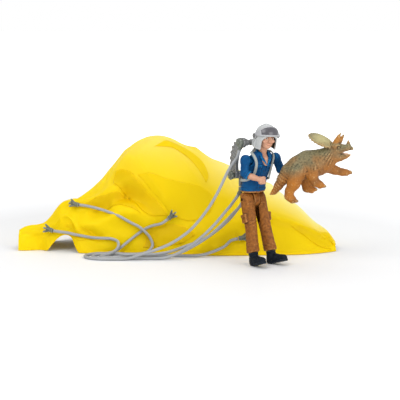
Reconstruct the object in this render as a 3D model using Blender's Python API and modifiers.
"""A toy parachute set down in a heap. A thin canopy lies on its hem, four moulded lines run from it to a toothed
back frame, and a poseable figure stands in the frame on its heels, with a young horned dinosaur on its left hand.

World axes: +X is the photograph's right, -Y comes out of it and +Z is up. The figure has a frame of its own, in which
-Y is forward, +X is the figure's left, and the origin is the middle of its belt."""

import math

import bmesh
import bpy
from mathutils import Matrix, Vector
from mathutils.bvhtree import BVHTree
from mathutils.kdtree import KDTree

mm = 0.001

# Fits that every piece follows
gap = 0.3 * mm
overrun = 2.0 * mm
socket_overrun = 4.0 * mm

# Canopy: a thin sheet over its own folds, in shares of its length, its height and its depth
canopy_left = -116.0 * mm
canopy_length = 227.0 * mm
canopy_height = 80.0 * mm
canopy_depth = 110.0 * mm
canopy_wall = 0.8 * mm
hem_turn = 5.0 * mm
sheet_girth = 180.0 * mm
canopy_columns = 34
canopy_rows = 15
canopy_round_share = 4 / 3
# along, ridge back, ridge height, front hem, back hem, lift of both hems
canopy_station_shares = (
    (0.000, -0.045, 0.162, -0.127, 0.055, 0.000),
    (0.018, -0.045, 0.194, -0.132, 0.082, 0.000),
    (0.070, -0.027, 0.225, -0.109, 0.164, 0.000),
    (0.097, -0.018, 0.293, -0.145, 0.200, 0.004),
    (0.132, -0.009, 0.417, -0.136, 0.236, 0.115),
    (0.167, 0.018, 0.447, -0.145, 0.282, 0.125),
    (0.194, 0.036, 0.452, -0.209, 0.373, 0.000),
    (0.246, 0.064, 0.526, -0.227, 0.509, 0.000),
    (0.286, 0.091, 0.643, -0.236, 0.573, 0.000),
    (0.335, 0.136, 0.874, -0.245, 0.636, 0.000),
    (0.401, 0.173, 0.989, -0.250, 0.682, 0.000),
    (0.471, 0.200, 0.985, -0.270, 0.700, 0.000),
    (0.546, 0.200, 0.868, -0.285, 0.700, 0.000),
    (0.603, 0.191, 0.792, -0.295, 0.691, 0.000),
    (0.656, 0.182, 0.743, -0.300, 0.673, 0.000),
    (0.735, 0.155, 0.637, -0.291, 0.627, 0.000),
    (0.797, 0.127, 0.544, -0.282, 0.573, 0.000),
    (0.885, 0.082, 0.383, -0.264, 0.473, 0.000),
    (0.946, 0.009, 0.225, -0.218, 0.345, 0.000),
    (0.977, -0.045, 0.154, -0.182, 0.236, 0.000),
    (1.000, -0.080, 0.065, -0.150, 0.080, 0.000),
)
# Creases, each from one point of the sheet to another (along, round), with its half width and rise by the height
canopy_fold_shares = (
    (0.330, 0.375, 0.483, 0.180, 0.17, 0.075),
    (0.300, 0.400, 0.345, 0.240, 0.11, -0.050),
    (0.345, 0.240, 0.430, 0.165, 0.11, -0.055),
    (0.176, 0.370, 0.345, 0.275, 0.12, 0.045),
    (0.250, 0.275, 0.420, 0.205, 0.09, -0.040),
    (0.132, 0.210, 0.447, 0.150, 0.13, 0.050),
    (0.194, 0.205, 0.260, 0.110, 0.08, -0.035),
    (0.483, 0.170, 0.400, 0.060, 0.10, -0.030),
    (0.447, 0.430, 0.576, 0.290, 0.13, 0.035),
    (0.528, 0.275, 0.620, 0.060, 0.14, 0.030),
    (0.640, 0.400, 0.760, 0.200, 0.15, -0.030),
    (0.700, 0.420, 0.720, 0.080, 0.12, 0.030),
    (0.800, 0.230, 0.990, 0.260, 0.10, 0.035),
    (0.020, 0.300, 0.100, 0.200, 0.07, 0.025),
    (0.330, 0.600, 0.300, 0.950, 0.16, 0.060),
    (0.450, 0.560, 0.430, 0.960, 0.15, -0.050),
    (0.560, 0.560, 0.580, 0.960, 0.17, 0.060),
    (0.680, 0.560, 0.740, 0.940, 0.15, -0.040),
    (0.200, 0.600, 0.180, 0.900, 0.12, -0.035),
    (0.800, 0.560, 0.900, 0.880, 0.12, 0.040),
)

# Line anchors: a claw outside the sheet, a peg through it and a disc behind it
peg_radius = 0.8 * mm
disc_radius = 1.5 * mm
disc_thickness = 0.7 * mm
disc_clearance = 1.1 * mm
claw_stand = 3.0 * mm
claw_radius = 1.6 * mm
claw_length = 4.0 * mm
prong_length = 5.2 * mm
prong_root_radius = 1.0 * mm
prong_tip_radius = 0.45 * mm
prong_spread = math.radians(34)
prong_rise = math.radians(16)
prong_shares = ((-1.0, 1.1), (1.0, 1.1), (0.0, 2.8), (0.0, 0.4))
# where each claw sits on the sheet (along, round), and which way its line leaves it in the photograph's plane
anchor_place_shares = ((0.483, 0.142), (0.182, 0.335), (0.107, 0.200), (0.702, 0.098))
anchor_line_turns = (math.radians(-139), math.radians(-12), math.radians(-18), math.radians(-172))

# Lines
line_radius = 1.0 * mm
line_point_step = 5.6 * mm
line_lead = 4.0 * mm
lay_samples = 4
lay_rounds = 80
sheet_reach = 12.0 * mm

# Figure, by its belt
figure_place_x = 50.3 * mm
figure_place_y = -52.0 * mm
figure_turn = math.radians(32)
leg_lean = math.radians(18)
hip_drop = 5.5 * mm
hip_pin_radius = 1.2 * mm
hip_slab_width = 4.4 * mm
hip_slab_radius = 5.6 * mm
belt_width = 17.4 * mm
belt_depth = 12.6 * mm
belt_thickness = 0.9 * mm

# Legs and boots
leg_width = 8.9 * mm
leg_depth = 10.0 * mm
leg_length = 36.5 * mm
leg_middle = 4.95 * mm
boot_length = 15.4 * mm
boot_width = 7.0 * mm
boot_height = 9.2 * mm
boot_heel_back = 3.2 * mm
heel_flat = 0.9 * mm
left_toe_turn = math.radians(18)
right_toe_turn = math.radians(-4)
pocket_width = 1.6 * mm
pocket_height = 6.0 * mm
pocket_depth = 5.6 * mm
# height, forward, outward, width and depth of each ring
leg_shares = (
    (0.135, 0.00, 0.00, 0.00, 0.00),
    (0.130, 0.00, 0.00, 0.86, 0.30),
    (0.105, 0.00, 0.00, 0.96, 0.64),
    (0.060, 0.00, 0.00, 1.00, 0.90),
    (0.000, 0.00, 0.00, 1.00, 1.00),
    (-0.180, 0.01, 0.02, 1.00, 1.00),
    (-0.360, 0.02, 0.05, 0.96, 0.96),
    (-0.540, 0.03, 0.09, 0.90, 0.88),
    (-0.660, 0.02, 0.13, 0.88, 0.86),
    (-0.820, -0.01, 0.19, 0.92, 0.92),
    (-0.960, -0.02, 0.24, 0.96, 0.98),
    (-1.000, -0.02, 0.25, 0.98, 1.00),
    (-1.000, -0.02, 0.25, 0.00, 0.00),
)
# back to toe: place along the boot, middle height, width and height of each ring
boot_shares = (
    (0.00, 0.30, 0.00, 0.00),
    (0.02, 0.30, 0.62, 0.46),
    (0.10, 0.32, 0.88, 0.62),
    (0.30, 0.34, 0.92, 0.68),
    (0.50, 0.33, 0.96, 0.66),
    (0.68, 0.28, 1.00, 0.56),
    (0.84, 0.24, 0.96, 0.44),
    (0.95, 0.22, 0.76, 0.34),
    (1.00, 0.21, 0.36, 0.20),
    (1.01, 0.21, 0.00, 0.00),
)
boot_shaft_radius = 3.3 * mm
boot_shaft_root = 3.0 * mm

# Shirt
shirt_width = 18.4 * mm
shirt_depth = 14.0 * mm
shirt_height = 27.2 * mm
shirt_lift = 0.9 * mm
shirt_shares = (
    (0.00, 0.00, 0.00, 0.00, 0.00),
    (0.00, 0.00, 0.00, 0.96, 0.94),
    (0.04, 0.00, 0.00, 0.98, 0.96),
    (0.16, 0.06, 0.00, 0.96, 0.97),
    (0.34, 0.19, 0.00, 0.98, 1.00),
    (0.52, 0.35, 0.00, 1.00, 1.02),
    (0.70, 0.51, 0.00, 1.02, 0.98),
    (0.84, 0.62, 0.00, 0.98, 0.82),
    (0.92, 0.69, 0.00, 0.80, 0.66),
    (0.98, 0.73, 0.00, 0.52, 0.52),
    (1.00, 0.75, 0.00, 0.44, 0.46),
    (1.00, 0.75, 0.00, 0.00, 0.00),
)

# Arms, by the figure's own left, back and up
shoulder_forward = 8.8 * mm
shoulder_out = 12.8 * mm
shoulder_up = 22.2 * mm
shoulder_peg_radius = 1.6 * mm
shoulder_peg_depth = 2.6 * mm
upper_arm_radius = 2.9 * mm
elbow_radius = 3.0 * mm
cuff_radius = 3.3 * mm
cuff_length = 2.2 * mm
forearm_radius = 2.1 * mm
wrist_radius = 1.6 * mm
# elbow, cuff and middle of the hand, in shares of the shoulder's height above the belt
right_arm_shares = ((-0.634, -0.472, 0.648), (-0.551, -0.583, 0.574), (-0.148, -0.713, 0.417))
left_arm_shares = ((0.694, -0.468, 0.667), (0.766, -0.613, 0.581), (0.883, -0.829, 0.545))
sleeve_top_share = 0.9
sleeve_crown_share = 0.6
sleeve_radius_shares = (0.45, 0.85, 1.00, 1.00, 1.02, 1.04)
wrist_share = 0.72
fist_radius = 2.6 * mm
fist_form_shares = (1.0, 0.9, 1.1)
fist_bore_shares = (0.0, 0.5, 1.6)
fist_bore_radius = 1.0 * mm
palm_length = 6.4 * mm
palm_height = 7.6 * mm
palm_thickness = 1.9 * mm
finger_reach = 8.0 * mm
finger_thickness = 1.9 * mm

# Head and helmet
head_forward = 15.1 * mm
head_up = 39.2 * mm
neck_tilt = math.radians(20)
neck_length = 11.8 * mm
neck_radius = 2.7 * mm
neck_peg_radius = 1.8 * mm
neck_peg_depth = 3.0 * mm
look_turn = math.radians(-10)
look_lift = math.radians(-10)
head_width = 10.8 * mm
head_depth = 11.8 * mm
head_height = 14.2 * mm
nose_radius = 0.85 * mm
nose_out_share = 0.51
nose_drop_share = 0.17
nose_form_shares = (0.9, 1.1, 1.5)
head_shares = (
    (0.410, 0.00, 0.00, 0.00, 0.00),
    (0.385, 0.00, 0.00, 0.40, 0.42),
    (0.330, 0.00, 0.00, 0.66, 0.68),
    (0.220, 0.00, 0.00, 0.88, 0.88),
    (0.070, 0.01, 0.00, 1.00, 0.99),
    (-0.080, 0.02, 0.00, 1.00, 1.00),
    (-0.220, 0.03, 0.00, 0.95, 0.94),
    (-0.360, 0.08, 0.00, 0.83, 0.80),
    (-0.480, 0.17, 0.00, 0.62, 0.58),
    (-0.550, 0.23, 0.00, 0.38, 0.36),
    (-0.580, 0.25, 0.00, 0.00, 0.00),
)
helmet_radius = 8.0 * mm
helmet_wall = 0.9 * mm
helmet_skirt = 8.6 * mm
helmet_width_share = 0.95
skirt_width_share = 0.97
skirt_depth_share = 0.94
skirt_back_share = 0.03
skirt_start_share = 0.1
liner_wall = 0.6 * mm
face_opening_width = 10.6 * mm
face_opening_top = 1.6 * mm
visor_wall = 0.7 * mm
visor_low = math.radians(10)
visor_high = math.radians(62)
pivot_radius = 0.8 * mm
pivot_head_radius = 1.5 * mm
pivot_head_thickness = 0.6 * mm

# Back frame: two toothed side blades on two cross pins
blade_middle_out = 9.0 * mm
blade_thickness = 2.6 * mm
blade_reach = 14.0 * mm
blade_rise = 17.0 * mm
blade_centre_up = 20.0 * mm
blade_band = 6.2 * mm
blade_start = math.radians(74)
blade_end = math.radians(226)
tooth_start = math.radians(116)
tooth_end = math.radians(206)
tooth_count = 6
tooth_depth = 1.3 * mm
# along the pitch and into the blade, for each corner of a tooth
tooth_shares = ((0.15, 1.0), (0.45, 0.8), (0.75, 0.0), (1.00, 0.0))
frame_pin_radius = 1.0 * mm
yoke_turn = math.radians(80)
hub_turn = math.radians(222)
yoke_radius = 2.2 * mm
hub_radius = 2.7 * mm
cog_radius = 3.3 * mm
cog_thickness = 1.2 * mm
cog_teeth = 8
cog_tooth_share = 0.82
cog_gap_start_share = 0.2
cog_gap_end_share = 0.7
tail_width = 12.0 * mm
tail_thickness = 2.4 * mm
tail_drop = 8.4 * mm
eye_radius = 2.3 * mm
eye_width = 1.8 * mm
socket_radius = 1.5 * mm
socket_length = 5.0 * mm
tail_line_out = 3.6 * mm

# Shoulder straps
strap_width = 1.9 * mm
strap_thickness = 1.0 * mm
strap_hug = 0.7 * mm
# height on the shirt and angle round it, counted from the front towards the side
strap_shares = (
    (0.97, 0.78),
    (0.95, 0.52),
    (0.88, 0.30),
    (0.72, 0.22),
    (0.50, 0.22),
    (0.34, 0.27),
    (0.24, 0.38),
    (0.20, 0.55),
    (0.20, 0.74),
)

# Young horned dinosaur, in shares of its length
dino_length = 63.0 * mm
dino_width_share = 0.92
dino_tip_share = 0.002
# place in the picture's plane, sideways, and half thickness
dino_body_shares = (
    (-0.478, 0.000, -0.335, 0.000),
    (-0.470, 0.000, -0.325, 0.012),
    (-0.390, 0.000, -0.217, 0.034),
    (-0.313, 0.000, -0.122, 0.060),
    (-0.248, 0.000, -0.057, 0.096),
    (-0.175, 0.000, -0.030, 0.122),
    (-0.073, 0.000, 0.000, 0.124),
    (0.025, 0.000, 0.034, 0.111),
    (0.102, 0.000, 0.078, 0.088),
    (0.157, -0.006, 0.121, 0.074),
    (0.222, -0.018, 0.159, 0.072),
    (0.290, -0.042, 0.181, 0.056),
    (0.350, -0.062, 0.180, 0.036),
    (0.385, -0.074, 0.166, 0.018),
    (0.397, -0.078, 0.158, 0.000),
)
dino_jaw_shares = (
    (0.200, -0.012, 0.105, 0.000),
    (0.215, -0.016, 0.105, 0.040),
    (0.270, -0.036, 0.104, 0.032),
    (0.330, -0.056, 0.108, 0.020),
    (0.366, -0.068, 0.113, 0.010),
    (0.370, -0.069, 0.114, 0.000),
)
dino_limb_shares = (
    ((-0.194, -0.080, -0.060, 0.060), (-0.194, -0.080, -0.068, 0.073), (-0.248, -0.086, -0.167, 0.064),
     (-0.292, -0.086, -0.270, 0.045), (-0.281, -0.086, -0.344, 0.043), (-0.225, -0.086, -0.378, 0.036),
     (-0.182, -0.086, -0.383, 0.026)),
    ((0.003, -0.070, 0.000, 0.050), (0.003, -0.080, -0.024, 0.063), (-0.017, -0.088, -0.140, 0.046),
     (0.020, -0.088, -0.195, 0.040), (0.072, -0.088, -0.217, 0.036), (0.100, -0.088, -0.224, 0.026)),
    ((-0.095, 0.070, -0.080, 0.050), (-0.095, 0.080, -0.111, 0.063), (-0.098, 0.084, -0.215, 0.048),
     (-0.078, 0.084, -0.280, 0.042), (-0.020, 0.084, -0.288, 0.036), (0.037, 0.084, -0.278, 0.026)),
    ((0.085, 0.040, 0.040, 0.040), (0.130, 0.066, -0.012, 0.054), (0.256, 0.078, -0.062, 0.041),
     (0.330, 0.078, -0.080, 0.036), (0.376, 0.078, -0.087, 0.034), (0.397, 0.078, -0.078, 0.024)),
)
dino_horn_tip_share = 0.12
# root and tip of each horn, and its root radius
dino_horn_shares = (
    (0.205, -0.062, 0.215, 0.271, -0.086, 0.352, 0.026),
    (0.240, 0.026, 0.215, 0.313, 0.016, 0.333, 0.026),
    (0.345, -0.060, 0.195, 0.345, -0.062, 0.281, 0.022),
)
dino_frill_place_share = (0.062, -0.002, 0.254)
dino_frill_reach_share = 0.150
dino_frill_width_share = 0.124
dino_frill_thickness_share = 0.030
dino_frill_tilt = math.radians(-24)
dino_frill_yaw = math.radians(-16)
# from the palm to the middle of the dinosaur
dino_hold_share = (0.228, -0.140, 0.131)


def clear_scene():
    for obj in list(bpy.data.objects):
        bpy.data.objects.remove(obj)


def new_collection(name):
    collection = bpy.data.collections.new(name)
    bpy.context.scene.collection.children.link(collection)
    return collection


clear_scene()
parts = new_collection("toy_parachute")
helpers = new_collection("cutters")
helpers.hide_render = True
frames = {}


def frame(name, parent, matrix):
    """An empty on a joint or a carrying point, and its matrix in the world."""
    empty = bpy.data.objects.new(name, None)
    empty.empty_display_size = gap
    parts.objects.link(empty)
    world = frames[parent] @ matrix if parent else matrix
    if parent:
        empty.parent = bpy.data.objects[parent]
    empty.matrix_local = matrix
    frames[name] = world
    return world


def finish(obj, parent, look):
    """Gives an object its place, its parent, smooth shading and its own material."""
    colour, roughness, metallic = look
    material = bpy.data.materials.new(obj.name)
    material.use_nodes = True
    shader = material.node_tree.nodes["Principled BSDF"]
    shader.inputs["Base Color"].default_value = (*colour, 1)
    shader.inputs["Roughness"].default_value = roughness
    shader.inputs["Metallic"].default_value = metallic
    obj.data.materials.append(material)
    if parent:
        obj.parent = bpy.data.objects[parent]
    return obj


def mesh_object(name, bm, helper=False, is_open=False):
    if not is_open:
        bmesh.ops.recalc_face_normals(bm, faces=bm.faces)
    mesh = bpy.data.meshes.new(name)
    bm.to_mesh(mesh)
    bm.free()
    mesh.shade_smooth()
    mesh.set_sharp_from_angle(angle=math.radians(38))
    obj = bpy.data.objects.new(name, mesh)
    if helper:
        helpers.objects.link(obj)
        obj.hide_render = True
        obj.display_type = "WIRE"
    else:
        parts.objects.link(obj)
    return obj


def swept_mesh(rings, sides=14, squareness=1.0):
    """A closed form through rings of (middle, across, deep). The first and the last ring are its end points."""
    bm = bmesh.new()
    steps = len(rings) - 1
    bmesh.ops.create_uvsphere(bm, u_segments=sides, v_segments=steps, radius=1)
    for vert in bm.verts:
        ring = round(math.acos(max(-1.0, min(1.0, vert.co.z))) / math.pi * steps)
        middle, across, deep = rings[ring]
        if ring in (0, steps):
            vert.co = middle
            continue
        turn = math.atan2(vert.co.y, vert.co.x)
        side = math.copysign(abs(math.cos(turn)) ** squareness, math.cos(turn))
        front = math.copysign(abs(math.sin(turn)) ** squareness, math.sin(turn))
        vert.co = middle + across * side + deep * front
    return bm


def upright_rings(shares, width, depth, height, lift=0.0, mirror=1):
    """Level rings up a body part, from rows of (height, forward, outward, width, depth)."""
    rings = []
    for up, forward, outward, wide, deep in shares:
        middle = Vector((mirror * outward * width, -forward * depth, up * height + lift))
        rings.append((middle, Vector((wide * width / 2, 0, 0)), Vector((0, deep * depth / 2, 0))))
    return rings


def tube_rings(points, radii, flat=1.0, side=Vector((0, 0, 1))):
    """Rings square to a path, with flat ends. Flat squeezes them along the side direction."""
    rings = []
    last = len(points) - 1
    for i, point in enumerate(points):
        along = (points[min(i + 1, last)] - points[max(i - 1, 0)]).normalized()
        across = along.cross(side).normalized()
        deep = across.cross(along).normalized()
        rings.append((point, across * radii[i], deep * radii[i] * flat))
    nothing = Vector()
    return [(points[0], nothing, nothing), *rings, (points[-1], nothing, nothing)]


def rod_mesh(start, end, radius, tip_radius=None, sides=16):
    """A cylinder or a cone between two points."""
    bm = bmesh.new()
    along = end - start
    turn = Vector((0, 0, 1)).rotation_difference(along).to_matrix().to_4x4()
    bmesh.ops.create_cone(
        bm,
        cap_ends=True,
        segments=sides,
        radius1=radius,
        radius2=radius if tip_radius is None else tip_radius,
        depth=along.length,
        matrix=Matrix.Translation((start + end) / 2) @ turn,
    )
    return bm


def box_mesh(middle, size, bevel=0.0):
    bm = bmesh.new()
    bmesh.ops.create_cube(bm, size=1, matrix=Matrix.Translation(middle) @ Matrix.Diagonal((*size, 1)))
    if bevel:
        bmesh.ops.bevel(bm, geom=bm.edges[:], offset=bevel, segments=2, profile=0.5, affect="EDGES")
    return bm


def combine(obj, bm, operation):
    """Joins a shape to an object, or cuts it out, with a Boolean that stays on the object."""
    tool = mesh_object(f"{obj.name}_tool_{len(obj.modifiers)}", bm, helper=True)
    tool.parent = obj.parent
    modifier = obj.modifiers.new(tool.name, "BOOLEAN")
    modifier.operation = operation
    modifier.object = tool


def add(obj, bm):
    combine(obj, bm, "UNION")


def cut(obj, bm):
    combine(obj, bm, "DIFFERENCE")


def piece(name, parent, look, shape, added=(), cuts=()):
    """One node: a shape, what is joined to it and what is cut out of it, all in its parent's frame."""
    obj = finish(mesh_object(name, shape), parent, look)
    for bm in added:
        add(obj, bm)
    for bm in cuts:
        cut(obj, bm)
    return obj


# Looks: colour, roughness and metallic value
yellow_nylon = ((0.94, 0.72, 0.01), 0.55, 0.0)
line_grey = ((0.42, 0.40, 0.36), 0.45, 0.0)
claw_grey = ((0.24, 0.25, 0.24), 0.45, 0.0)
frame_grey = ((0.22, 0.22, 0.22), 0.42, 0.0)
strap_grey = ((0.40, 0.42, 0.40), 0.5, 0.0)
helmet_grey = ((0.50, 0.50, 0.50), 0.35, 0.0)
visor_grey = ((0.20, 0.19, 0.20), 0.2, 0.0)
liner_black = ((0.02, 0.02, 0.025), 0.6, 0.0)
skin_tone = ((0.72, 0.38, 0.22), 0.5, 0.0)
shirt_blue = ((0.01, 0.08, 0.20), 0.55, 0.0)
trouser_brown = ((0.19, 0.07, 0.01), 0.6, 0.0)
boot_black = ((0.02, 0.03, 0.04), 0.5, 0.0)
dino_tan = ((0.40, 0.20, 0.06), 0.6, 0.0)


# Canopy
def canopy_station(share):
    """The row of the station table at a share of the length, by a cubic through its rows."""
    table = canopy_station_shares
    i = max(k for k in range(len(table) - 1) if table[k][0] <= share)
    before, start, end, after = (table[min(max(k, 0), len(table) - 1)] for k in (i - 1, i, i + 1, i + 2))
    width = end[0] - start[0]
    t = (share - start[0]) / width
    values = []
    for a, b, c, d in zip(before, start, end, after):
        rise_b = (c - a) / (end[0] - before[0]) * width
        rise_c = (d - b) / (after[0] - start[0]) * width
        values.append(
            b * (1 + 2 * t) * (1 - t) ** 2
            + rise_b * t * (1 - t) ** 2
            + c * t * t * (3 - 2 * t)
            + rise_c * t * t * (t - 1)
        )
    return values


def fold_rise(along, around):
    """How far the creases lift the sheet at a point, or sink it."""
    here = Vector((along * canopy_length, around * sheet_girth))
    total = 0.0
    for x0, w0, x1, w1, half_width, rise in canopy_fold_shares:
        start = Vector((x0 * canopy_length, w0 * sheet_girth))
        run = Vector((x1 * canopy_length, w1 * sheet_girth)) - start
        t = min(max((here - start).dot(run) / run.length_squared, 0.0), 1.0)
        near = 1 - (here - start - run * t).length / (half_width * canopy_height)
        if near > 0:
            total += rise * canopy_height * near**1.5
    return total


def canopy_point(along, around):
    """A point of the sheet: along its length, and round it from the front hem over the ridge to the back hem."""
    _, ridge_back, ridge_up, front, back, lift = canopy_station(along)
    turn = math.pi * around
    reach = math.copysign(abs(math.cos(turn)) ** canopy_round_share, math.cos(turn))
    rise = math.sin(turn) ** canopy_round_share if 0 < around < 1 else 0.0
    low = max(lift, 0.0) * canopy_height
    side = ridge_back - front if reach > 0 else back - ridge_back
    fold = fold_rise(along, around)
    x = canopy_left + along * canopy_length
    y = (ridge_back - reach * side) * canopy_depth - math.cos(turn) * fold
    z = low + (ridge_up * canopy_height - low) * rise + math.sin(turn) * fold * min(rise * 4, 1)
    return Vector((x, y, max(z, 0.0)))


def sheet_point(u, v):
    """The same by grid shares, with the hem turned in at both ends."""
    stations = len(canopy_station_shares) - 1
    i = min(int(u * stations), stations - 1)
    start, end = canopy_station_shares[i][0], canopy_station_shares[i + 1][0]
    along = start + (end - start) * (u * stations - i)
    row = v * canopy_rows
    around = min(max((row - 1) / (canopy_rows - 2), 0.0), 1.0)
    point = canopy_point(along, around)
    turned_in = hem_turn * (max(0.0, 1 - row) - max(0.0, row - canopy_rows + 1))
    return point + Vector((0, turned_in, 0))


bm = bmesh.new()
bmesh.ops.create_grid(bm, x_segments=canopy_columns, y_segments=canopy_rows, size=0.5)
for vert in bm.verts:
    vert.co = sheet_point(vert.co.x + 0.5, vert.co.y + 0.5)
outside = bm.copy()
bmesh.ops.delete(outside, geom=[face for face in outside.faces if face.calc_center_median().z < gap], context="FACES")
if sum(face.normal.z for face in outside.faces) < 0:
    bmesh.ops.reverse_faces(outside, faces=outside.faces)
outside.normal_update()
surface = BVHTree.FromBMesh(outside)
outside.free()
canopy = finish(mesh_object("canopy", bm, is_open=True), None, yellow_nylon)
canopy_solid = canopy.modifiers.new("sheet", "SOLIDIFY")
canopy_solid.thickness = canopy_wall
canopy_solid.offset = -1


def seat_on_canopy(along, around):
    """The point of the built sheet there, and the way out of it."""
    point = canopy_point(along, around)
    out = Vector((0, -math.cos(math.pi * around), math.sin(math.pi * around)))
    hit, normal, _, _ = surface.ray_cast(point + out * canopy_height / 4, -out)
    return hit, normal if normal.dot(out) > 0 else -normal


# Line anchors
line_ends = []
for number, (place, turn) in enumerate(zip(anchor_place_shares, anchor_line_turns), start=1):
    seat, out = seat_on_canopy(*place)
    wanted = Vector((math.cos(turn), 0, math.sin(turn)))
    leave = (wanted - out * wanted.dot(out)).normalized()
    across = out.cross(leave)
    claw = seat + out * claw_stand
    behind = seat - out * (canopy_wall + disc_clearance)
    prongs = []
    for spread, rise in prong_shares:
        aim = -leave * math.cos(spread * prong_spread) + across * math.sin(spread * prong_spread)
        aim = (aim + out * math.tan(rise * prong_rise)).normalized()
        prongs.append(rod_mesh(claw, claw + aim * prong_length, prong_root_radius, prong_tip_radius, sides=8))
    piece(
        f"canopy_anchor_{number}",
        None,
        claw_grey,
        rod_mesh(claw - leave * claw_length / 2, claw + leave * claw_length / 2, claw_radius, sides=12),
        added=(
            rod_mesh(claw, behind - out * disc_thickness / 2, peg_radius, sides=10),
            rod_mesh(behind, behind - out * disc_thickness, disc_radius, sides=12),
            *prongs,
        ),
    )
    cut(canopy, rod_mesh(seat + out * overrun, seat - out * overrun, peg_radius + gap, sides=10))
    line_ends.append((claw + leave * (claw_length / 2 + gap), leave))

# Figure frames
heel_drop = (leg_length + boot_height) * math.cos(leg_lean) + boot_heel_back * math.sin(leg_lean) - heel_flat
stand = Matrix.Translation((figure_place_x, figure_place_y, hip_drop + heel_drop))
frame("figure_frame", None, stand @ Matrix.Rotation(figure_turn, 4, "Z"))


def shirt_surface(up_share, turn):
    """A point on the shirt. Turn 0 is the front, and a quarter turn is the figure's left."""
    rows = shirt_shares[1:-1]
    i = max(k for k in range(len(rows) - 1) if rows[k][0] <= up_share)
    t = min((up_share - rows[i][0]) / (rows[i + 1][0] - rows[i][0]), 1.0)
    forward, _, wide, deep = (a + (b - a) * t for a, b in zip(rows[i][1:], rows[i + 1][1:]))
    x = math.sin(turn) * wide * shirt_width / 2
    y = -math.cos(turn) * deep * shirt_depth / 2
    return Vector((x, y - forward * shirt_depth, up_share * shirt_height + shirt_lift))


def shirt_point(up_share, turn):
    """A point on the shirt and the way straight out of it."""
    step = 0.02
    point = shirt_surface(up_share, turn)
    up = shirt_surface(min(up_share + step, 1), turn) - shirt_surface(max(up_share - step, 0), turn)
    around = shirt_surface(up_share, turn + step) - shirt_surface(up_share, turn - step)
    return point, around.cross(up).normalized()


# Shirt, with sockets for the neck and the arms
neck_axis = Vector((0, -math.sin(neck_tilt), math.cos(neck_tilt)))
neck_base = Vector((0, -head_forward, head_up)) - neck_axis * neck_length
shoulders = {side: Vector((way * shoulder_out, -shoulder_forward, shoulder_up)) for side, way in (("left", 1), ("right", -1))}
socket_cuts = [
    rod_mesh(
        neck_base - neck_axis * (neck_peg_depth + gap),
        neck_base + neck_axis * socket_overrun,
        neck_peg_radius + gap,
    ),
    rod_mesh(neck_base - neck_axis * gap, neck_base + neck_axis * socket_overrun, neck_radius + gap),
]
sleeve_inside = shoulder_out - upper_arm_radius
for side, way in (("left", 1), ("right", -1)):
    inside = Vector((way * (sleeve_inside - shoulder_peg_depth - gap), 0, 0))
    level = Vector((0, -shoulder_forward, shoulder_up))
    socket_cuts.append(rod_mesh(level + inside, level + Vector((way * shoulder_out, 0, 0)), shoulder_peg_radius + gap))
    face = Vector((way * (sleeve_inside - gap), 0, 0))
    socket_cuts.append(rod_mesh(level + face, level + face + Vector((way * shoulder_out, 0, 0)), elbow_radius * 2))
piece(
    "shirt",
    "figure_frame",
    shirt_blue,
    swept_mesh(upright_rings(shirt_shares, shirt_width, shirt_depth, shirt_height, shirt_lift), 20),
    cuts=socket_cuts,
)

# Pelvis: a belt plate under the shirt and a slab between the legs, with the bore of the hip pin
hip = Vector((0, 0, -hip_drop))
slab = Vector((hip_slab_width / 2, 0, 0))
belt_middle = Vector((0, 0, shirt_lift - gap - belt_thickness / 2))
belt = bmesh.new()
bmesh.ops.create_cone(
    belt,
    cap_ends=True,
    segments=24,
    radius1=belt_width / 2,
    radius2=belt_width / 2,
    depth=belt_thickness,
    matrix=Matrix.Translation(belt_middle) @ Matrix.Diagonal((1, belt_depth / belt_width, 1, 1)),
)
hip_reach = Vector((leg_middle + leg_width / 3, 0, 0))
piece(
    "pelvis",
    "figure_frame",
    trouser_brown,
    rod_mesh(hip - slab, hip + slab, hip_slab_radius, sides=28),
    added=(belt,),
    cuts=(rod_mesh(hip - hip_reach, hip + hip_reach, hip_pin_radius + gap),),
)
piece("hip_pin", "figure_frame", frame_grey, rod_mesh(hip - hip_reach, hip + hip_reach, hip_pin_radius))

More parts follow.
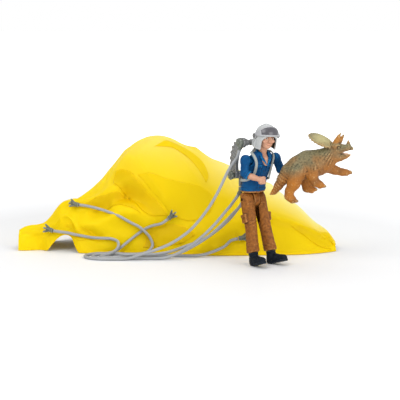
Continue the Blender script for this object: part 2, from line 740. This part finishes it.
# Legs and boots, each pair on its own hip joint
for side, way, toe_turn in (("left", 1, left_toe_turn), ("right", -1, right_toe_turn)):
    joint = f"{side}_hip"
    frame(joint, "figure_frame", Matrix.Translation(hip) @ Matrix.Rotation(-leg_lean, 4, "X"))
    outward = Vector((way, 0, 0))
    thigh = upright_rings(leg_shares, leg_width, leg_depth, leg_length, mirror=way)
    thigh = [(middle + outward * leg_middle, across, deep) for middle, across, deep in thigh]
    pocket = thigh[6][0] + outward * (leg_width * leg_shares[6][3] / 2)
    inner = Vector((hip_slab_width / 2 + gap, 0, 0))
    bore_end = outward * (hip_reach.x + gap)
    piece(
        f"{side}_leg",
        joint,
        trouser_brown,
        swept_mesh(thigh, 16),
        added=(box_mesh(pocket, (pocket_width, pocket_depth, pocket_height), pocket_width / 4),),
        cuts=(
            rod_mesh(-inner, inner, hip_slab_radius + gap * 2, sides=28),
            rod_mesh(Vector(), bore_end, hip_pin_radius + gap),
        ),
    )
    ankle = thigh[-1][0]
    heel = ankle - Vector((0, 0, boot_height))
    swing = Matrix.Translation(heel) @ Matrix.Rotation(toe_turn, 4, "Z")
    frame(f"{side}_foot", joint, swing)
    foot = []
    for along, up, wide, tall in boot_shares:
        middle = Vector((0, boot_heel_back - along * boot_length, up * boot_height))
        foot.append((middle, Vector((wide * boot_width / 2, 0, 0)), Vector((0, 0, tall * boot_height / 2))))
    shaft = Vector((0, 0, boot_shaft_root))
    sole_cut = box_mesh(Vector((0, 0, -boot_height / 2)), (boot_length * 2, boot_length * 3, boot_height))
    floor_cut = box_mesh(Vector((0, 0, -boot_height)), (canopy_length, canopy_length, boot_height * 2))
    bmesh.ops.transform(floor_cut, matrix=frames[f"{side}_foot"].inverted(), verts=floor_cut.verts)
    piece(
        f"{side}_boot",
        f"{side}_foot",
        boot_black,
        swept_mesh(foot, 14, squareness=0.6),
        added=(rod_mesh(shaft, Vector((0, 0, boot_height - gap)), boot_shaft_radius, sides=16),),
        cuts=(sole_cut, floor_cut),
    )

# Arms: a sleeve with its shoulder peg and rolled cuff, and a bare forearm
dino_matrix = None
for side, way, arm_shares in (("left", 1, left_arm_shares), ("right", -1, right_arm_shares)):
    joint = f"{side}_shoulder"
    frame(joint, "figure_frame", Matrix.Translation(shoulders[side]))
    elbow, cuff, hand = (Vector(share) * shoulder_up - shoulders[side] for share in arm_shares)
    top = Vector((0, 0, upper_arm_radius * sleeve_top_share))
    bend = (cuff - elbow).normalized()
    sleeve = tube_rings(
        [top, top * sleeve_crown_share, Vector(), elbow / 2, elbow, cuff - bend * cuff_length / 2],
        [upper_arm_radius * share for share in sleeve_radius_shares],
        side=Vector((1, 0, 0)),
    )
    inward = Vector((-way, 0, 0))
    forearm_start = cuff + bend * gap
    forearm_lead = cuff + bend * forearm_radius / 2
    piece(
        f"{side}_sleeve",
        joint,
        shirt_blue,
        swept_mesh(sleeve, 14),
        added=(
            rod_mesh(Vector(), inward * (upper_arm_radius + shoulder_peg_depth), shoulder_peg_radius),
            rod_mesh(cuff - bend * cuff_length, cuff, cuff_radius, sides=16),
        ),
    )
    run = hand - forearm_start
    wrist = forearm_start + run * wrist_share
    arm = tube_rings(
        [forearm_start, forearm_lead, forearm_start.lerp(wrist, 0.5), wrist, hand],
        [forearm_radius, forearm_radius, forearm_radius, wrist_radius, wrist_radius],
        side=Vector((1, 0, 0)),
    )
    if side == "right":
        fist = bmesh.new()
        bmesh.ops.create_uvsphere(
            fist,
            u_segments=14,
            v_segments=10,
            radius=fist_radius,
            matrix=Matrix.Translation(hand) @ Matrix.Diagonal((*fist_form_shares, 1)),
        )
        hole = Vector(fist_bore_shares) * fist_radius
        piece(
            "right_forearm",
            joint,
            skin_tone,
            swept_mesh(arm, 12),
            added=(fist,),
            cuts=(rod_mesh(hand - hole, hand + hole, fist_bore_radius, sides=12),),
        )
        continue
    # The left hand is square to the picture, because the animal on it is
    unturn = frames[joint].to_3x3().inverted().to_4x4()
    dino_offset = unturn @ (Vector(dino_hold_share) * dino_length)
    dino_matrix = Matrix.Translation(hand + dino_offset) @ unturn
    palm_turn = Matrix.Translation(hand) @ unturn
    palm = box_mesh(Vector(), (palm_length, palm_thickness, palm_height), palm_thickness / 3)
    low = Vector((0, -(finger_reach - palm_thickness) / 2, -palm_height / 2 + finger_thickness / 2))
    fingers = box_mesh(low, (palm_length, finger_reach, finger_thickness), finger_thickness / 3)
    for block in (palm, fingers):
        bmesh.ops.transform(block, matrix=palm_turn, verts=block.verts)
    piece("left_forearm", joint, skin_tone, swept_mesh(arm, 12), added=(palm, fingers))

# Head, helmet, liner and visor
frame("neck_joint", "figure_frame", Matrix.Translation(neck_base) @ Matrix.Rotation(neck_tilt, 4, "X"))
head_middle = Vector((0, 0, neck_length))
look = Matrix.Rotation(look_turn, 4, "Z") @ Matrix.Rotation(look_lift, 4, "X")
frame("helmet_frame", "neck_joint", Matrix.Translation(head_middle) @ look)
head_form = swept_mesh(upright_rings(head_shares, head_width, head_depth, head_height), 18)
nose_at = Vector((0, -head_depth * nose_out_share, -head_height * nose_drop_share))
nose = bmesh.new()
bmesh.ops.create_uvsphere(
    nose,
    u_segments=8,
    v_segments=6,
    radius=nose_radius,
    matrix=Matrix.Translation(nose_at) @ Matrix.Diagonal((*nose_form_shares, 1)),
)
neck_form = rod_mesh(Vector(), Vector((0, 0, neck_length)), neck_radius)
peg_form = rod_mesh(Vector((0, 0, -neck_peg_depth)), Vector((0, 0, neck_length / 2)), neck_peg_radius)
unlook = look.inverted() @ Matrix.Translation(-head_middle)
for form in (neck_form, peg_form):
    bmesh.ops.transform(form, matrix=unlook, verts=form.verts)
piece("head", "helmet_frame", skin_tone, head_form, added=(nose, neck_form, peg_form))


def dome(radius, wall, name, look_of):
    """An open shell: a half ball with a skirt below it, and the face cut out of its front."""
    bm = bmesh.new()
    bmesh.ops.create_uvsphere(bm, u_segments=22, v_segments=18, radius=radius)
    bmesh.ops.delete(bm, geom=[f for f in bm.faces if f.calc_center_median().z < -radius * skirt_start_share], context="FACES")
    for vert in bm.verts:
        vert.co.x *= helmet_width_share
        if vert.co.z < -gap:
            vert.co.z = -helmet_skirt
            vert.co.y = vert.co.y * skirt_depth_share + radius * skirt_back_share
            vert.co.x *= skirt_width_share
    obj = finish(mesh_object(name, bm, is_open=True), "helmet_frame", look_of)
    shell = obj.modifiers.new("shell", "SOLIDIFY")
    shell.thickness = wall
    shell.offset = -1
    half = face_opening_width / 2
    opening = rod_mesh(
        Vector((0, -radius * skirt_start_share, face_opening_top - half)),
        Vector((0, -radius * 2, face_opening_top - half)),
        half,
        sides=24,
    )
    below = box_mesh(
        Vector((0, -radius * (1 + skirt_start_share), face_opening_top - half - helmet_skirt)),
        (face_opening_width, radius * 2, helmet_skirt * 2),
    )
    cut(obj, opening)
    cut(obj, below)
    return obj


side_reach = Vector((helmet_radius * 2, 0, 0))
helmet = dome(helmet_radius, helmet_wall, "helmet_shell", helmet_grey)
cut(helmet, rod_mesh(-side_reach, side_reach, pivot_radius + gap, sides=12))
dome(helmet_radius - helmet_wall - gap, liner_wall, "helmet_liner", liner_black)

frame("visor_joint", "helmet_frame", Matrix())
visor_radius = helmet_radius + gap + visor_wall
bm = bmesh.new()
bmesh.ops.create_uvsphere(bm, u_segments=24, v_segments=16, radius=visor_radius)
bmesh.ops.transform(bm, matrix=Matrix.Rotation(math.radians(90), 4, "Y"), verts=bm.verts)
drop = []
for face in bm.faces:
    middle = face.calc_center_median()
    turn = math.atan2(middle.z, -middle.y)
    if not visor_low < turn < visor_high:
        drop.append(face)
bmesh.ops.delete(bm, geom=drop, context="FACES")
for vert in bm.verts:
    vert.co.x *= helmet_width_share
visor = finish(mesh_object("helmet_visor", bm, is_open=True), "visor_joint", visor_grey)
visor_shell = visor.modifiers.new("shell", "SOLIDIFY")
visor_shell.thickness = visor_wall
visor_shell.offset = -1
side_at = helmet_radius * helmet_width_share
for way in (1, -1):
    boss_in = Vector((way * (side_at + gap), 0, 0))
    boss_out = Vector((way * (side_at + gap + visor_wall), 0, 0))
    add(visor, rod_mesh(boss_in, boss_out, pivot_head_radius + gap, sides=16))
cut(visor, rod_mesh(-side_reach, side_reach, pivot_radius + gap, sides=12))
for side, way in (("left", 1), ("right", -1)):
    root = Vector((way * (side_at - helmet_wall), 0, 0))
    head_in = Vector((way * (side_at + visor_wall + gap * 2), 0, 0))
    head_out = head_in + Vector((way * pivot_head_thickness, 0, 0))
    piece(
        f"visor_pivot_{side}",
        "helmet_frame",
        claw_grey,
        rod_mesh(root, head_out, pivot_radius, sides=12),
        added=(rod_mesh(head_in, head_out, pivot_head_radius, sides=14),),
    )


# Back frame
def blade_edge(turn, inset):
    """Forward and up of a point on the blade's oval, moved in by a width."""
    return (blade_reach - inset) * math.cos(turn), blade_centre_up + (blade_rise - inset) * math.sin(turn)


def blade_outline():
    points = []
    steps = 12
    for i in range(steps + 1):
        turn = blade_start + (tooth_start - blade_start) * i / steps
        points.append(blade_edge(turn, 0.0))
    pitch = (tooth_end - tooth_start) / tooth_count
    for i in range(tooth_count):
        start = tooth_start + pitch * i
        for along, depth in tooth_shares:
            points.append(blade_edge(start + pitch * along, tooth_depth * depth))
    points.append(blade_edge(blade_end, 0.0))
    for i in range(steps * 2 + 1):
        turn = blade_end + (blade_start - blade_end) * i / (steps * 2)
        points.append(blade_edge(turn, blade_band))
    return points


def plate_mesh(outline, thickness, middle_out):
    """A flat outline of (forward, up) points made solid across the figure."""
    curve = bpy.data.curves.new("outline", "CURVE")
    curve.dimensions = "2D"
    curve.fill_mode = "BOTH"
    curve.extrude = thickness / 2
    spline = curve.splines.new("POLY")
    spline.points.add(len(outline) - 1)
    for point, (forward, up) in zip(spline.points, outline):
        point.co = (forward, up, 0, 1)
    spline.use_cyclic_u = True
    guide = bpy.data.objects.new("outline", curve)
    helpers.objects.link(guide)
    bpy.context.view_layer.update()
    mesh = bpy.data.meshes.new_from_object(guide.evaluated_get(bpy.context.evaluated_depsgraph_get()))
    bpy.data.objects.remove(guide)
    bm = bmesh.new()
    bm.from_mesh(mesh)
    bpy.data.meshes.remove(mesh)
    bmesh.ops.remove_doubles(bm, verts=bm.verts, dist=gap / 100)
    across = Matrix(((0, 0, -1, middle_out), (-1, 0, 0, 0), (0, 1, 0, 0), (0, 0, 0, 1)))
    bmesh.ops.transform(bm, matrix=across, verts=bm.verts)
    return bm


def pin_place(turn):
    forward, up = blade_edge(turn, blade_band / 2)
    return Vector((0, -forward, up))


yoke_at = pin_place(yoke_turn)
hub_at = pin_place(hub_turn)
blade_inside = blade_middle_out - blade_thickness / 2
blade_outside = blade_middle_out + blade_thickness / 2
eye_middle = blade_outside + gap + eye_width / 2
pin_end = eye_middle + eye_width / 2 + gap + cog_thickness
for side, way in (("left", 1), ("right", -1)):
    reach = Vector((way * pin_end, 0, 0))
    piece(
        f"side_blade_{side}",
        "figure_frame",
        frame_grey,
        plate_mesh(blade_outline(), blade_thickness, way * blade_middle_out),
        cuts=[rod_mesh(at, at + reach, frame_pin_radius + gap) for at in (yoke_at, hub_at)],
    )

bar_end = Vector((blade_inside - gap, 0, 0))
through = Vector((pin_end, 0, 0))
piece(
    "yoke_bar",
    "figure_frame",
    frame_grey,
    rod_mesh(yoke_at - bar_end, yoke_at + bar_end, yoke_radius, sides=16),
    cuts=(rod_mesh(yoke_at - through, yoke_at + through, frame_pin_radius + gap),),
)
tail_back = hub_at + Vector((0, 0, -tail_drop / 2))
piece(
    "waist_hub",
    "figure_frame",
    frame_grey,
    rod_mesh(hub_at - bar_end, hub_at + bar_end, hub_radius, sides=18),
    added=(box_mesh(tail_back, (tail_width, tail_thickness, tail_drop), tail_thickness / 4),),
    cuts=(rod_mesh(hub_at - through, hub_at + through, frame_pin_radius + gap),),
)


def cog_mesh(start, end):
    """A small toothed knob on a pin's end."""
    bm = rod_mesh(start, end, cog_radius, sides=cog_teeth * 4)
    middle = (start + end) / 2
    along = (end - start).normalized()
    for vert in bm.verts:
        arm = vert.co - middle
        arm -= along * arm.dot(along)
        angle = math.atan2(arm.z, arm.y) / math.tau * cog_teeth % 1
        if cog_gap_start_share < angle < cog_gap_end_share:
            vert.co -= arm * (1 - cog_tooth_share)
    return bm


for name, at in (("yoke_pin", yoke_at), ("hub_pin", hub_at)):
    knobs = []
    for way in (1, -1):
        outer = at + Vector((way * pin_end, 0, 0))
        knobs.append(cog_mesh(outer - Vector((way * cog_thickness, 0, 0)), outer))
    rod_end = Vector((pin_end - cog_thickness / 2, 0, 0))
    piece(name, "figure_frame", claw_grey, rod_mesh(at - rod_end, at + rod_end, frame_pin_radius), added=knobs)

# Ferrules: two eyes on the yoke pin's ends, and two sockets under the hub's tail
tail_foot = hub_at - Vector((0, 0, tail_drop + gap))
ferrule_places = (
    (yoke_at - Vector((eye_middle, 0, 0)), Vector((-0.03, 0.28, -0.96)), True),
    (tail_foot - Vector((tail_line_out, 0, 0)), Vector((-0.20, 0.55, -0.80)), False),
    (tail_foot + Vector((tail_line_out, 0, 0)), Vector((-0.05, 0.45, -0.89)), False),
    (yoke_at + Vector((eye_middle, 0, 0)), Vector((0.02, 0.52, -0.85)), True),
)
line_starts = []
for number, (at, way, is_eye) in enumerate(ferrule_places, start=1):
    way = way.normalized()
    half = Vector((eye_width / 2, 0, 0))
    if is_eye:
        socket_end = at + way * socket_length
        piece(
            f"line_ferrule_{number}",
            "figure_frame",
            claw_grey,
            rod_mesh(at - half, at + half, eye_radius, sides=18),
            added=(rod_mesh(at + way * frame_pin_radius * 2, socket_end, eye_width / 2, sides=12),),
            cuts=(rod_mesh(at - half * 3, at + half * 3, frame_pin_radius + gap),),
        )
    else:
        foot = at - Vector((0, 0, socket_radius))
        socket_end = foot + way * socket_length
        piece(
            f"line_ferrule_{number}",
            "figure_frame",
            claw_grey,
            box_mesh(foot, (socket_radius * 3, tail_thickness, socket_radius * 2), socket_radius / 4),
            added=(rod_mesh(foot, socket_end, socket_radius, sides=12),),
        )
    world = frames["figure_frame"]
    line_starts.append((world @ (socket_end + way * gap), (world.to_3x3() @ way).normalized()))

# Shoulder straps, round the shirt from the yoke to the hub
for side, way in (("left", 1), ("right", -1)):
    rings = []
    path = []
    for up, turn in strap_shares:
        point, out = shirt_point(up, way * turn * math.pi)
        path.append((point + out * (strap_hug + strap_thickness / 2), out))
    for i, (point, out) in enumerate(path):
        ahead = path[min(i + 1, len(path) - 1)][0] - path[max(i - 1, 0)][0]
        across = ahead.normalized().cross(out).normalized()
        rings.append((point, across * strap_width / 2, out * strap_thickness / 2))
    nothing = Vector()
    rings = [(rings[0][0], nothing, nothing), *rings, (rings[-1][0], nothing, nothing)]
    piece(f"shoulder_strap_{side}", "figure_frame", strap_grey, swept_mesh(rings, 8, squareness=0.5))

# Young horned dinosaur
frame("dinosaur_seat", "left_shoulder", dino_matrix)


def dino_tube(shares, width=1.0, sides=12):
    """A swept body part in the animal's upright plane, a little narrower than it is tall."""
    points = [Vector(row[:3]) * dino_length for row in shares]
    radii = [max(row[3], dino_tip_share) * dino_length for row in shares]
    rings = []
    last = len(points) - 1
    for i, point in enumerate(points):
        along = (points[min(i + 1, last)] - points[max(i - 1, 0)]).normalized()
        across = along.cross(Vector((0, 1, 0))).normalized()
        aside = across.cross(along).normalized()
        rings.append((point, aside * radii[i] * width, across * radii[i]))
    return swept_mesh(rings, sides)


extras = [dino_tube(dino_jaw_shares, 1.1, 10)]
for limb in dino_limb_shares:
    ends = ((*limb[0][:3], 0.0), *limb[1:], (*limb[-1][:3], 0.0))
    extras.append(dino_tube(ends, 1.0, 10))
for row in dino_horn_shares:
    root, tip = Vector(row[:3]) * dino_length, Vector(row[3:6]) * dino_length
    extras.append(rod_mesh(root, tip, row[6] * dino_length, row[6] * dino_length * dino_horn_tip_share, sides=8))
frill = bmesh.new()
frill_turn = Matrix.Rotation(dino_frill_yaw, 4, "Z") @ Matrix.Rotation(dino_frill_tilt, 4, "Y")
frill_size = (dino_frill_reach_share, dino_frill_width_share, dino_frill_thickness_share)
bmesh.ops.create_uvsphere(
    frill,
    u_segments=16,
    v_segments=8,
    radius=dino_length,
    matrix=Matrix.Translation(Vector(dino_frill_place_share) * dino_length)
    @ frill_turn.inverted()
    @ Matrix.Diagonal((*frill_size, 1)),
)
extras.append(frill)
piece(
    "triceratops",
    "dinosaur_seat",
    dino_tan,
    dino_tube(dino_body_shares, dino_width_share, 16),
    added=extras,
)

# Lines: the free points of each route, between its ferrule and its claw, chosen by eye
line_routes = (
    (
        (33.5, -57.0, 64.0), (24.0, -53.5, 44.0), (14.0, -51.5, 29.0), (5.0, -50.5, 19.5), (-7.0, -49.8, 11.5),
        (-19.0, -49.6, 6.6), (-29.0, -50.0, 3.6), (-37.0, -50.0, 1.2), (-46.0, -49.9, 1.0), (-56.0, -49.0, 1.0),
        (-63.4, -45.0, 1.0), (-66.4, -39.2, 1.0), (-64.0, -33.2, 1.0), (-57.5, -29.4, 1.0), (-49.0, -29.2, 1.4),
        (-42.0, -29.2, 5.0), (-33.0, -26.5, 12.0), (-22.5, -25.5, 19.0),
    ),
    (
        (31.0, -46.8, 33.0), (22.0, -46.8, 22.5), (11.5, -47.2, 13.0), (1.0, -48.0, 6.0), (-8.0, -48.0, 2.2),
        (-17.0, -47.6, 1.0), (-30.0, -47.4, 1.0), (-44.0, -47.4, 1.0), (-52.6, -47.0, 1.0), (-58.8, -44.2, 1.0),
        (-60.9, -39.2, 1.0), (-58.8, -34.2, 1.0), (-53.0, -31.5, 1.0), (-44.0, -31.4, 1.0), (-34.0, -31.8, 1.0),
        (-24.0, -32.0, 2.0), (-19.4, -29.8, 6.4), (-22.0, -27.2, 13.0), (-31.0, -24.2, 20.0), (-44.0, -20.6, 26.4),
        (-58.0, -15.6, 30.6), (-68.0, -10.6, 32.0),
    ),
    (
        (38.6, -40.4, 33.0), (30.0, -39.8, 24.0), (20.0, -39.6, 15.0), (9.0, -40.4, 8.0), (-2.0, -41.8, 3.0),
        (-12.0, -43.6, 1.0), (-26.0, -44.6, 1.0), (-40.0, -44.8, 1.0), (-48.6, -44.8, 1.0), (-53.6, -42.8, 1.0),
        (-55.4, -39.2, 1.0), (-53.6, -35.6, 1.0), (-49.0, -33.8, 1.8), (-44.6, -33.0, 4.4), (-42.8, -30.6, 7.8),
        (-45.6, -27.2, 10.4), (-52.0, -24.6, 10.8), (-62.0, -22.4, 10.8), (-74.0, -19.2, 12.4), (-84.0, -17.6, 14.4),
    ),
    (
        (52.4, -34.4, 64.0), (48.0, -33.0, 47.0), (39.5, -33.6, 32.0), (28.0, -34.6, 20.0), (17.0, -35.9, 12.6),
        (5.0, -39.2, 8.4), (-8.0, -43.2, 4.6), (-20.0, -45.6, 3.5), (-31.0, -46.0, 3.4), (-38.0, -45.8, 3.4),
        (-42.8, -43.8, 3.5), (-44.2, -40.8, 3.4), (-42.6, -37.8, 2.8), (-38.0, -36.2, 1.8), (-30.0, -36.0, 1.0),
        (-20.0, -36.4, 1.0), (-8.0, -37.0, 1.0), (4.0, -37.6, 1.0), (14.0, -38.0, 1.4), (22.0, -37.4, 3.4),
        (31.0, -35.2, 7.0),
    ),
)


def smooth_path(points, step):
    """Points at even steps on a cubic through all the given ones."""
    dense = []
    for i in range(len(points) - 1):
        before, start = points[max(i - 1, 0)], points[i]
        end, after = points[i + 1], points[min(i + 2, len(points) - 1)]
        for k in range(16):
            t = k / 16
            dense.append(
                0.5
                * (
                    2 * start
                    + (end - before) * t
                    + (2 * before - 5 * start + 4 * end - after) * t * t
                    + (3 * start - before - 3 * end + after) * t**3
                )
            )
    dense.append(points[-1])
    lengths = [0.0]
    for a, b in zip(dense, dense[1:]):
        lengths.append(lengths[-1] + (b - a).length)
    count = max(2, round(lengths[-1] / step))
    path = []
    i = 0
    for k in range(count + 1):
        want = lengths[-1] * k / count
        while i < len(dense) - 2 and lengths[i + 1] < want:
            i += 1
        t = (want - lengths[i]) / (lengths[i + 1] - lengths[i])
        path.append(dense[i].lerp(dense[i + 1], min(t, 1.0)))
    return path


def push_clear(point, tree):
    """How far a line's middle must move there to clear the sheet, the floor and the lines laid before it."""
    push = Vector((0, 0, max(line_radius - point.z, 0)))
    reach = line_radius + gap
    hit, out, _, distance = surface.find_nearest(point)
    if (point - hit).dot(out) < 0:
        if distance < sheet_reach:
            push += hit + out * reach - point
    elif distance < reach:
        push += (point - hit).normalized() * (reach - distance)
    other, _, distance = tree.find(point)
    if other and distance < line_radius * 2 + gap:
        push += (point - other).normalized() * (line_radius * 2 + gap - distance)
    return push / 2


def lay(path, laid):
    """Eases a path's inner points outwards until every stretch between them is clear too."""
    tree = KDTree(len(laid))
    for i, point in enumerate(laid):
        tree.insert(point, i)
    tree.balance()
    for _ in range(lay_rounds):
        most = 0.0
        for i in range(1, len(path) - 2):
            for k in range(lay_samples):
                t = k / lay_samples
                push = push_clear(path[i].lerp(path[i + 1], t), tree)
                path[i] += push * (1 - t)
                if i < len(path) - 2:
                    path[i + 1] += push * t
                most = max(most, push.length)
        if most < gap / 10:
            break
    return path


laid_points = []
for number, route in enumerate(line_routes, start=1):
    start, start_way = line_starts[number - 1]
    end, end_way = line_ends[number - 1]
    free = [Vector(point) * mm for point in route]
    path = smooth_path(
        [start, start + start_way * line_lead, *free, end + end_way * line_lead, end], line_point_step
    )
    path = lay(path, laid_points)
    for a, b in zip(path, path[1:]):
        laid_points.extend(a.lerp(b, k / (lay_samples * 4)) for k in range(lay_samples * 4))
    length = sum((b - a).length for a, b in zip(path, path[1:]))
    curve = bpy.data.curves.new(f"line_{number}", "CURVE")
    curve.dimensions = "3D"
    curve.bevel_depth = line_radius
    curve.bevel_resolution = 2
    curve.use_fill_caps = True
    spline = curve.splines.new("POLY")
    spline.points.add(len(path) - 1)
    for target, point in zip(spline.points, path):
        target.co = (*point, 1)
    line = bpy.data.objects.new(f"line_{number}", curve)
    parts.objects.link(line)
    finish(line, None, line_grey)
    print(f"line {number}: {length / mm:.0f} mm long, {len(path)} points")
